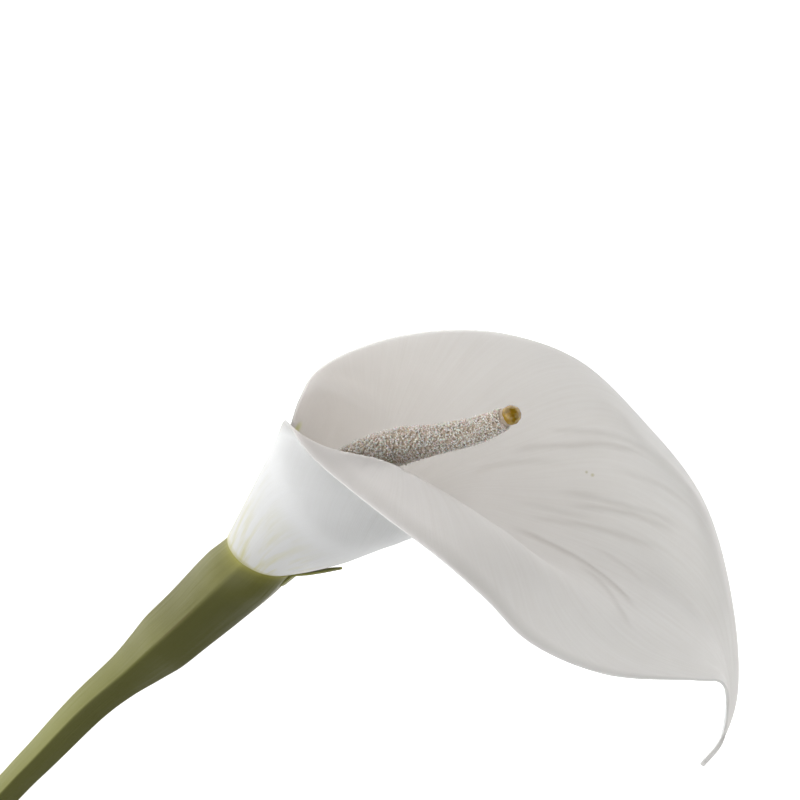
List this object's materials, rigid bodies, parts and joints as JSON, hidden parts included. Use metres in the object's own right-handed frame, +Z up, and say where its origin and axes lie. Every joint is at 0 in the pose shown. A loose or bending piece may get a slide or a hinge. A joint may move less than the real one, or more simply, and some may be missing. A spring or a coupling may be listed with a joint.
{
  "type": "calla lily flower",
  "caption": "Cut calla lily lying on a surface: a white funnel-shaped spathe with a rolled flap and a long thin tip round a slender spadix, on a stout green ridged stem.",
  "frame": {"origin": "on the surface that the flower lies on, under the middle of its bounding box", "axes": "+Z up from the surface, +X from the stem's cut end towards the bloom, -Y towards the spathe's long tip"},
  "size_m": [0.3108, 0.1722, 0.0977],
  "materials": {
    "spathe": "waxy white petal-like leaf, soft sheen, faint long veins",
    "spadix": "dense tiny florets with pale grains, dull ochre at the tip",
    "stem": "fresh olive green skin, low sheen, fine long lines"
  },
  "bodies": {
    "root": {"spathe": "spathe", "spadix": "spadix", "stem": "stem"}
  },
  "joints": []
}
